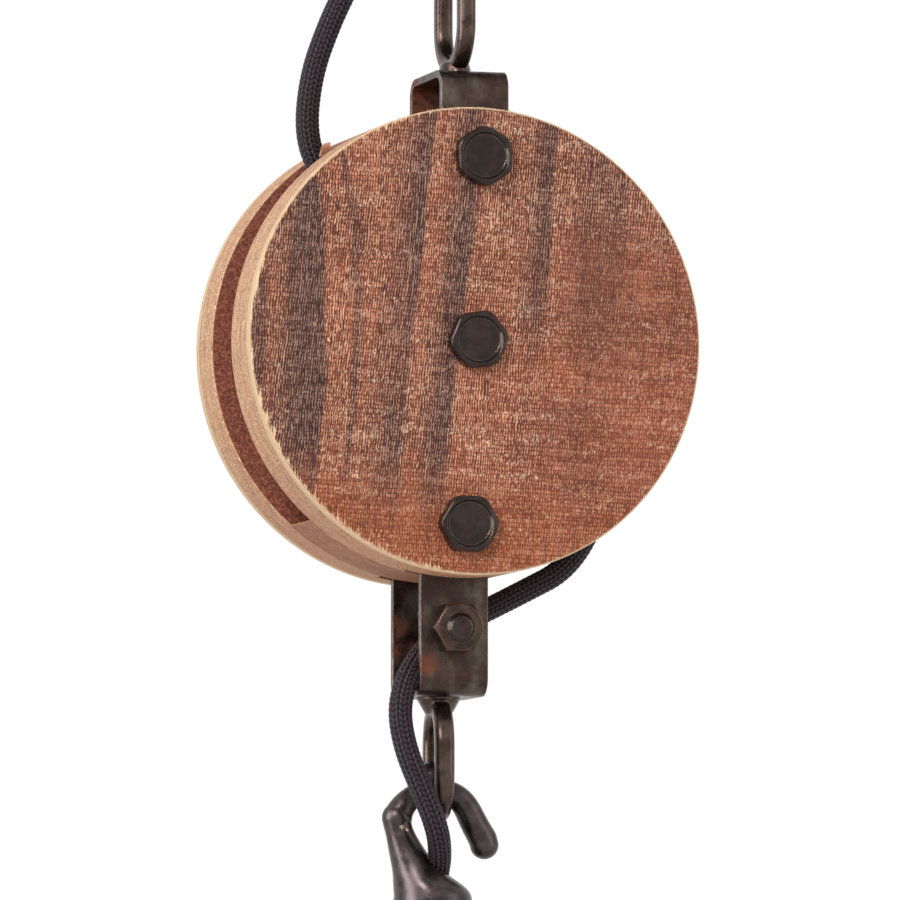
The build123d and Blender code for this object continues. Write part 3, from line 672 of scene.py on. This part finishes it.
# %% Face boards: fibres with dark pits between them and bare tips
pit_dark, pit_brown, score_brown = paint(28, 13, 9), paint(52, 24, 15), paint(84, 42, 30)
tip_pale, tip_in_band = paint(240, 176, 138), paint(172, 130, 114)
fleck_pale, fleck_in_band = paint(250, 216, 184), paint(222, 192, 174)


def face_wood(name, seed, turn, dark_bands, right_bands_end):
    """One board; its seed moves the patterns, so no two boards are cut from the same wood."""
    material, b, shader = new_finish(name, roughness=0.72, Specular_IOR_Level=0.3)
    square = block_mm(b)
    at = b.stretch(square, (1, 1, 1), (0, seed * 37.0, 0), (0, radians(turn), 0))
    x, y, z = b.split(at)
    fibres = b.group(fibre_group, {"Vector": at, "Columns per mm": 1.35, "Rows per mm": 0.82})
    band = heartwood(b, at, fibres["Grain"], dark_bands, right_bands_end)
    veins = b.levels(fibres["Grain"], 0.5, 0.36)
    stain = stained(b, at, band, veins)

    # The right side and the foot are sanded smoother, so their fibres are fainter.
    smooth = b.times(b.levels(x, 10.0, 32.0), b.levels(z, 45.0, 25.0))
    smooth = b.math("MAXIMUM", smooth, b.levels(z, -30.0, -52.0))
    rough = b.minus(1.0, smooth)

    # Long strokes follow the bands and the veins; short ones, row by row, fill the rest.
    long_share = b.math("MAXIMUM", b.times(band, 0.45), b.times(b.plus(veins, 0.3), rough), clamp=True)
    tick = b.mix(long_share, fibres["Fibres"], fibres["Strokes"])
    pits = b.mix(smooth, b.mix(0.82, stain, pit_dark), b.mix(0.6, stain, pit_brown))
    wood = b.mix(b.levels(tick, 0.52, 0.05), stain, pits)
    wood = b.mix(b.times(fibres["Scores"], 0.28), wood, score_brown)
    tips = b.times(b.levels(tick, 0.52, 0.95), b.mix(smooth, grey(0.82), grey(0.4)))
    wood = b.mix(tips, wood, b.mix(band, tip_pale, tip_in_band))

    # Flecks and row lines are bare wood, and the edge lies barest of all.
    pale = b.math("MAXIMUM", fibres["Flecks"], b.times(fibres["Row lines"], 0.6))
    pale = b.times(pale, b.mix(smooth, grey(1.0), grey(0.55)))
    pale = b.times(pale, b.minus(1.0, b.times(band, 0.6)))
    wood = b.mix(pale, wood, b.mix(band, fleck_pale, fleck_in_band))
    edge, bare_edge = chipped_edge(b, square, at)
    b.colour(shader, b.mix(edge, wood, bare_edge))
    height = b.plus(b.times(tick, b.mix(smooth, grey(0.6), grey(0.35))), b.times(pale, 0.3))
    relief(b, shader, b.minus(height, b.times(edge, 0.5)), distance=0.3)
    return material


front_wood = face_wood("front_face_wood", seed=0, turn=-3.3, dark_bands=front_bands, right_bands_end=8.0)
rear_wood = face_wood("rear_face_wood", seed=3, turn=-4.0, dark_bands=rear_bands, right_bands_end=-60.0)
print("face boards finished")


# %% Cheek cores: bare laminated rim, red brown stain between the cheeks
glue_seams = (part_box("front_cheek_core")[0][1] / MM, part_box("rear_cheek_core")[1][1] / MM)
rim_starts, rim_is_full = 64.35, 64.75
layer_gap, rim_fuzz, rim_dot = paint(122, 68, 46), paint(255, 222, 184), paint(116, 62, 40)
rim_foot, seam_brown = paint(172, 102, 66), paint(104, 62, 42)


def core_wood():
    material, b, shader = new_finish("cheek_core_wood", roughness=0.7, Specular_IOR_Level=0.3)
    at = block_mm(b)
    x, y, z = b.split(at)
    angle = b.math("ARCTAN2", x, z)
    layers = b.noise(b.join(b.times(angle, 2.2), b.times(y, 0.9)), detail=4.0, roughness=0.62, distortion=0.5)
    fine = b.noise(b.join(b.times(angle, 9.0), b.times(y, 4.5)), detail=3.0, roughness=0.7)
    fuzz = b.noise(b.stretch(at, (1.5, 1.5, 1.5)), detail=3.0, roughness=0.75)
    dots = b.noise(b.stretch(at, (2.2, 2.2, 2.2), (5, 0, 0)), roughness=0.7)
    rim = b.ramp(layers, [(0.3, paint(176, 112, 76)), (0.42, paint(218, 160, 118)),
                          (0.58, paint(240, 192, 150)), (0.72, paint(198, 140, 100))])
    rim = b.mix(b.levels(fine, 0.52, 0.36, 0.0, 0.95), rim, layer_gap)
    rim = b.mix(b.levels(fuzz, 0.51, 0.61, 0.0, 0.8), rim, rim_fuzz)
    rim = b.mix(b.levels(dots, 0.46, 0.36, 0.0, 0.8), rim, rim_dot)
    rim = b.mix(b.levels(z, -20.0, -62.0, 0.0, 0.35), rim, rim_foot)
    for seam in glue_seams:
        off = b.math("ABSOLUTE", b.minus(y, seam))
        rim = b.mix(b.levels(off, 0.45, 0.1, 0.0, 0.85), rim, seam_brown)
    mottle = b.noise(at, scale=1.3, detail=4.0, roughness=0.75)
    inside = b.ramp(mottle, [(0.34, paint(92, 44, 34)), (0.5, paint(130, 70, 53)),
                             (0.66, paint(180, 110, 86))])
    on_rim = b.levels(from_axle(b, x, z), rim_starts, rim_is_full)
    b.colour(shader, b.mix(on_rim, inside, rim))
    height = b.mix(on_rim, b.times(mottle, 0.5), b.plus(layers, b.times(fine, 0.4)))
    relief(b, shader, height, distance=0.35, strength=0.8)
    return material


def spacer_wood():
    material, b, shader = new_finish("spacer_wood", roughness=0.72, Specular_IOR_Level=0.3)
    at = block_mm(b)
    lines = b.noise(b.stretch(at, (0.06, 1.6, 0.9)), detail=4.0, roughness=0.6, distortion=0.3)
    blotch = b.noise(b.stretch(at, (0.07, 0.2, 0.1)), detail=3.0)
    wood = b.ramp(lines, [(0.3, paint(118, 70, 50)), (0.5, paint(172, 116, 86)), (0.7, paint(212, 156, 122))])
    wood = b.mix(b.times(b.levels(blotch, 0.4, 0.7), 0.4), wood, paint(130, 78, 58))
    # Pale edges: wood rubbed by handling, and a painted highlight along each edge.
    wear_and_highlight = b.group(wear_and_highlight_group, {"Radius": 0.6 * MM, "Vector": at, "Patchy": 0.4})["Wear and highlight"]
    wood = b.mix(b.times(wear_and_highlight, 0.8), wood, paint(226, 182, 152))
    b.colour(shader, wood)
    relief(b, shader, lines, distance=0.4, strength=0.8)
    return material


def wheel_wood():
    material, b, shader = new_finish("wheel_wood", roughness=0.55, Specular_IOR_Level=0.35)
    at = block_mm(b)
    lines = b.noise(b.stretch(at, (1.1, 0.6, 0.07)), detail=4.0, roughness=0.6, distortion=0.2)
    wood = b.ramp(lines, [(0.3, paint(86, 46, 34)), (0.5, paint(118, 66, 46)), (0.72, paint(150, 92, 66))])
    b.colour(shader, wood)
    relief(b, shader, lines, distance=0.3, strength=0.6)
    return material


core_finish, spacer_finish, wheel_finish = core_wood(), spacer_wood(), wheel_wood()
print("cores, spacers and wheel finished")

# %% [markdown]
# ## Splinters
# Where the saw left the board, its last fibres tore out and stand up from the edge as
# small pale slivers.  They are far too many to place by hand and all alike, so a geometry
# tree sets a thin cone on points of an arc, scales and tilts each at random with a fixed
# seed, and realises them as one mesh.

# %% Wire one arc of slivers
def bare_wood():
    material, b, shader = new_finish("torn_bare_wood", roughness=0.75, Specular_IOR_Level=0.25)
    at = plain_mm(b)
    tone = b.noise(at, scale=0.9, detail=3.0, roughness=0.6)
    b.colour(shader, b.ramp(tone, [(0.32, paint(196, 142, 104)), (0.5, paint(234, 192, 150)),
                                   (0.68, paint(250, 222, 184))]))
    relief(b, shader, tone, distance=0.1, strength=0.6)
    return material


slivers, b, given, result = new_group(
    "slivers", {"Base": GEOMETRY, "Radius": FLOAT, "Start": FLOAT, "Sweep": FLOAT, "Count": WHOLE,
                "Wide": FLOAT, "Tall": FLOAT, "Seed": WHOLE, "Place": VECTOR, "Lean": VECTOR,
                "Material": MATERIAL},
    {"Geometry": GEOMETRY}, "GeometryNodeTree")
arc = b.node("GeometryNodeCurveArc", {"Resolution": given["Count"], "Radius": given["Radius"],
                                      "Start Angle": given["Start"], "Sweep Angle": given["Sweep"]},
             mode="RADIUS").outputs["Curve"]
edge_points = b.node("GeometryNodeCurveToMesh", {"Curve": arc}).outputs["Mesh"]
upright = b.node("GeometryNodeTransform", {"Geometry": edge_points, "Rotation": (pi / 2, 0, 0)}).outputs[0]
sliver = b.node("GeometryNodeMeshCone", {"Vertices": 5, "Radius Top": 0.0, "Radius Bottom": given["Wide"],
                                         "Depth": given["Tall"]}).outputs["Mesh"]
random_size = b.node("FunctionNodeRandomValue",
                     {"Min": 0.12, "Max": 1.0, "Seed": given["Seed"]}).outputs["Value"]
where = b.node("GeometryNodeInputPosition").outputs[0]
clump = b.levels(b.noise(where, scale=0.22 / MM, roughness=0.7), 0.42, 0.66, 0.12, 1.0)
size = b.times(b.math("POWER", random_size, 1.6), clump)
stretch = b.join(b.plus(b.times(size, 0.6), 0.5), 0.6, size)
least_tilt, most_tilt = (-0.06, -0.3, 0.0), (0.02, 0.2, 3.0)
tilt_seed = b.plus(given["Seed"], 7.0)
tilt = b.node("FunctionNodeRandomValue", {"Min": least_tilt, "Max": most_tilt, "Seed": tilt_seed},
              data_type="FLOAT_VECTOR").outputs["Value"]
grown = b.node("GeometryNodeInstanceOnPoints", {"Points": upright, "Instance": sliver, "Rotation": tilt,
                                                "Scale": stretch}).outputs[0]
solid = b.node("GeometryNodeRealizeInstances", {"Geometry": grown}).outputs[0]
placed = b.node("GeometryNodeTransform", {"Geometry": solid, "Translation": given["Place"],
                                          "Rotation": given["Lean"]}).outputs[0]
dressed = b.node("GeometryNodeSetMaterial", {"Geometry": placed, "Material": given["Material"]}).outputs[0]
b.give(result, {"Geometry": dressed})
print("slivers wired with", len(slivers.nodes), "nodes")

# %% Grow slivers along four stretches of the board's edge
# Start and sweep in degrees, number of slivers, their width and height in millimetres, seed.
edge_stretches = [
    ("lower_slivers", 202, 62, 150, 0.3, 4.2, 3),
    ("left_slivers", 122, 76, 90, 0.25, 2.4, 5),
    ("top_slivers", 42, 78, 120, 0.2, 1.7, 9),
    ("right_slivers", 292, 104, 120, 0.2, 1.3, 12),
]
board_edge = {"Radius": board_radius * MM, "Place": (axle.x, front_face, axle.z), "Lean": (0, lean, 0),
              "Material": bare_wood()}
for name, start, sweep, count, wide, tall, seed in edge_stretches:
    piece = put(name, bpy.data.meshes.new(name))
    shaped_by(piece, slivers, {**board_edge, "Start": radians(start), "Sweep": radians(sweep),
                               "Count": count, "Wide": wide * MM, "Tall": tall * MM, "Seed": seed})
    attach(piece, "block")
    print(name, len(piece.data.polygons), "faces")

# %% A torn stub on the end of the top spacer, beside the cord
stub_corners = [(-1.5, -1.2, -1.8), (1.4, -1.2, -1.9), (1.4, 1.1, -1.9), (-1.5, 1.1, -1.8), (-1.4, -1.0, 0.4),
                (-0.7, -0.9, 1.7), (0.3, -1.0, 0.8), (1.3, -0.9, 2.3), (1.3, 0.7, 1.5), (-0.8, 0.8, 0.9),
                (1.5, -1.1, 0.2)]
stub_place = Vector((-40.2, -8.6, -101.6))
stub = bmesh.new()
for corner in stub_corners:
    stub.verts.new((stub_place + Vector(corner)) * MM)
bmesh.ops.convex_hull(stub, input=stub.verts)
bmesh.ops.recalc_face_normals(stub, faces=stub.faces)
stub_mesh = bpy.data.meshes.new("torn_stub")
stub.to_mesh(stub_mesh)
stub.free()
stub_mesh.materials.append(spacer_finish)
torn_stub = put("torn_stub", stub_mesh)
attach(torn_stub, "block")
print("stub", len(stub_mesh.vertices), "corners")

# %% [markdown]
# ## Steel
# The straps are mild steel that was blackened and left to weather: a brown black skin
# with paler patches, a few rust spots where the cord rubs and water sits, and bare bright
# metal along the edges, partly rubbed bare and partly a painted highlight.  No real
# edge is sharp, so every metal also gets its edges rounded in the normal.

# %% Strap steel, with rust spots given by their place and reach in millimetres
# The last colour, bare steel, goes on the edges: steel rubbed bare, and a painted highlight.
strap_mist, rust_brown, rust_speck, bare_steel_and_highlight = (
    paint(54, 44, 42), paint(128, 70, 48), paint(140, 96, 74), paint(160, 140, 126))
rust_spots = [((-12.1, -15.0, -244.8), 4.6), ((-13.6, 14.0, -233.0), 5.5), ((-13.3, 12.0, -238.5), 4.5),
              ((-8.0, 13.0, -84.0), 11.0)]


def strap_steel():
    material, b, shader = new_finish("weathered_strap_steel", roughness=0.42, metallic=0.8)
    at = plain_mm(b)
    patches = b.noise(b.stretch(at, (0.14, 0.14, 0.1)), detail=4.0, roughness=0.6)
    mist = b.noise(at, scale=0.5, detail=4.0, roughness=0.7)
    speck = b.noise(at, scale=1.6, detail=4.0, roughness=0.75)
    steel = b.ramp(patches, [(0.36, paint(46, 32, 28)), (0.5, paint(70, 54, 47)), (0.66, paint(96, 86, 74))])
    steel = b.mix(b.levels(mist, 0.35, 0.65, 0.0, 0.35), steel, strap_mist)
    rust = b.times(b.levels(patches, 0.42, 0.32), 0.5)
    for place, reach in rust_spots:
        rust = b.math("MAXIMUM", rust, b.levels(b.distance(at, place), reach, 0.3 * reach))
    rust = b.times(rust, b.levels(mist, 0.3, 0.7, 0.25, 1.0))
    steel = b.mix(b.times(rust, 0.75), steel, rust_brown)
    steel = b.mix(b.levels(speck, 0.64, 0.74, 0.0, 0.6), steel, rust_speck)
    # Bright edges: steel rubbed bare, and a painted highlight along every edge.
    wear_and_highlight = b.group(wear_and_highlight_group, {"Radius": 0.6 * MM, "Vector": at, "Patchy": 0.5})["Wear and highlight"]
    steel = b.mix(b.times(wear_and_highlight, 0.45), steel, bare_steel_and_highlight)
    b.colour(shader, steel)
    rough = b.plus(b.levels(mist, 0.3, 0.7, 0.22, 0.46), b.times(rust, 0.35))
    b.tree.links.new(rough, shader.inputs["Roughness"])
    height = b.plus(b.times(mist, 0.5), b.times(speck, 0.3))
    relief(b, shader, height, distance=0.16, strength=0.7, edge=0.5)
    return material


strap_finish = strap_steel()
print("strap steel with", len(rust_spots), "rust spots")


# %% The other metals; a chip in the hook's lacquer is given like a rust spot
chip_pale = paint(190, 170, 148)


def worn_highlit_metal(name, low, high, worn_and_highlit, roughness, bump, edge_radius, patchy=0.6, metallic=0.85, chips=()):
    """Painted, plated or blackened metal: two close shades, a fine skin, and pale edges that are partly
    rubbed and partly a painted highlight.
    """
    material, b, shader = new_finish(name, roughness, metallic)
    at = plain_mm(b)
    cloud = b.noise(at, scale=0.25, detail=4.0, roughness=0.6)
    skin = b.noise(at, scale=2.2, detail=3.0, roughness=0.6)
    metal = b.mix(b.levels(cloud, 0.35, 0.65), paint(*low), paint(*high))
    # The edge colour is rubbed metal and a painted highlight along every edge.
    wear_and_highlight = b.group(wear_and_highlight_group, {"Radius": edge_radius * MM, "Vector": at, "Patchy": patchy})["Wear and highlight"]
    metal = b.mix(wear_and_highlight, metal, paint(*worn_and_highlit))
    for place, reach in chips:
        far = b.plus(b.distance(at, place), b.swing(skin, 3.0 * reach))
        metal = b.mix(b.levels(far, reach, 0.7 * reach), metal, chip_pale)
    b.colour(shader, metal)
    rough = b.levels(cloud, 0.3, 0.7, roughness - 0.06, roughness + 0.1)
    b.tree.links.new(rough, shader.inputs["Roughness"])
    height = b.plus(b.times(cloud, 0.6), b.times(skin, 0.25))
    relief(b, shader, height, distance=bump, strength=0.7, edge=edge_radius)
    return material


# For each metal the third colour goes on the edges: rubbed metal and a painted highlight.
bolt_finish = worn_highlit_metal("black_oxide_bolt", (50, 41, 38), (60, 50, 47), (108, 94, 86),
                         roughness=0.22, bump=0.1, edge_radius=0.4)
nut_finish = worn_highlit_metal("worn_guide_nut", (54, 42, 37), (76, 62, 53), (150, 108, 84),
                        roughness=0.24, bump=0.1, edge_radius=0.5)
bar_finish = worn_highlit_metal("bronzed_bar", (62, 48, 43), (82, 68, 61), (144, 122, 104),
                        roughness=0.24, bump=0.12, edge_radius=0.7)
cast_finish = worn_highlit_metal("cast_hook_lacquer", (58, 49, 51), (76, 66, 68), (124, 110, 104),
                         roughness=0.28, bump=0.12, edge_radius=0.7,
                         chips=[((-16.1, -4.0, -289.6), 0.9), ((-14.9, -4.2, -290.4), 0.55)])
canopy_finish = worn_highlit_metal("canopy_paint", (48, 45, 42), (58, 55, 51), (80, 76, 70),
                           roughness=0.45, bump=0.06, edge_radius=0.4, metallic=0.3)
zinc_finish = worn_highlit_metal("zinc_plate", (150, 150, 150), (178, 178, 180), (205, 205, 205),
                         roughness=0.35, bump=0.05, edge_radius=0.4)
brass_finish = worn_highlit_metal("brass_bush", (150, 118, 66), (184, 150, 90), (210, 180, 120),
                          roughness=0.35, bump=0.05, edge_radius=0.4)
print("metals finished")


# %% Moulded plastic
def moulded_plastic(name, colour, roughness):
    material, b, shader = new_finish(name, roughness)
    at = plain_mm(b)
    grain = b.noise(at, scale=3.0, detail=3.0, roughness=0.6)
    lighter = [min(255, c + 14) for c in colour]
    b.colour(shader, b.mix(grain, paint(*colour), paint(*lighter)))
    relief(b, shader, grain, distance=0.05, strength=0.5)
    return material


grip_finish = moulded_plastic("cord_grip_plastic", (34, 33, 33), roughness=0.5)
terminal_finish = moulded_plastic("terminal_plastic", (222, 218, 206), roughness=0.35)
print("plastics finished")

# %% [markdown]
# ## Dress the solids
# The record names the material slot of every solid, so one table from slot to finish
# dresses them all.  Only the front board differs: it shares its slot with the rear board,
# but has bands of its own.

# %% Give every solid its finish
finish_of_slot = {
    "black_canopy_paint": canopy_finish, "zinc_plate": zinc_finish, "bronze_hook_bar": bar_finish,
    "rusted_strap_steel": strap_finish, "black_oxide_bolt": bolt_finish, "worn_guide_nut": nut_finish,
    "face_wood": rear_wood, "core_wood": core_finish, "spacer_wood": spacer_finish,
    "wheel_wood": wheel_finish, "brass_bush": brass_finish, "cast_hook_lacquer": cast_finish,
    "grip_plastic": grip_finish, "terminal_plastic": terminal_finish, "braided_cord": cord_finish,
}
slot_of_node = {s["node"]: s["material_slot"] for s in frame["record"]["subparts"]}
for node, solid in frame["nodes"].items():
    finish = front_wood if node == "front_face_board" else finish_of_slot[slot_of_node[node]]
    solid.data.materials.clear()
    solid.data.materials.append(finish)
print(len(frame["nodes"]), "solids dressed")

# %% [markdown]
# ## Floor and light
# Soft light comes from all round, and one broad lamp at the upper left models the forms.
# A tall strip of light at the left is there only for the gleam that it puts on the steel
# and the hook; it lights no surface.  The sky is white to the camera and in reflections,
# while the light that it gives is lower.  The floor sends light up from below and is
# clear to every ray that looks, so the block can be seen from under it too.

# %% Floor, sky and lamps
def looked_at(b):
    """One for the rays that look: from the camera, off a gleam or through a clear body."""
    path = b.node("ShaderNodeLightPath").outputs
    return b.plus(path["Is Camera Ray"], b.plus(path["Is Glossy Ray"], path["Is Transmission Ray"]),
                  clamp=True)


def floor():
    mesh = bpy.data.meshes.new("studio_floor")
    half, height = 4.0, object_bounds()[0][2] - 350.0 * MM
    corners = [(-half, -half, height), (half, -half, height), (half, half, height), (-half, half, height)]
    mesh.from_pydata(corners, [], [(0, 1, 2, 3)])
    plane = put("studio_floor", mesh)
    material, b, shader = new_finish("studio_floor", roughness=0.9)
    shader.inputs["Base Color"].default_value = grey(0.86)
    clear = b.node("ShaderNodeBsdfTransparent").outputs[0]
    shown = b.node("ShaderNodeMixShader", {0: looked_at(b), 1: shader.outputs[0], 2: clear}).outputs[0]
    b.tree.links.new(shown, b.tree.nodes["Material Output"].inputs["Surface"])
    mesh.materials.append(material)


def sky(strength):
    """White to the camera and in reflections; the light that it gives is lower."""
    world = bpy.data.worlds.new("studio_sky")
    world.use_nodes = True
    bpy.context.scene.world = world
    b = Bench(world.node_tree)
    background = world.node_tree.nodes["Background"]
    background.inputs["Color"].default_value = grey(1.0)
    power = b.plus(b.times(looked_at(b), 1.0 - strength), strength)
    b.tree.links.new(power, background.inputs["Strength"])


def lamp(name, place, size, watts, height=None, only_gleam=False):
    data = bpy.data.lights.new(name, "AREA")
    data.shape = "RECTANGLE"
    data.size, data.size_y = size, height or size
    data.energy = watts
    light = put(name, data)
    light.location = place
    light.rotation_euler = (Vector(place) - axle).to_track_quat("Z", "Y").to_euler()
    light.visible_diffuse = not only_gleam


floor()
sky(strength=0.5)
lamp("key_lamp", (-1.1, -1.3, 0.75), size=0.6, watts=24.0)
lamp("fill_lamp", (1.4, -1.2, 0.1), size=1.2, watts=6.0)
lamp("gleam_strip", (-1.5, -0.15, 0.05), size=0.6, watts=24.0, height=1.3, only_gleam=True)
print("lights up")
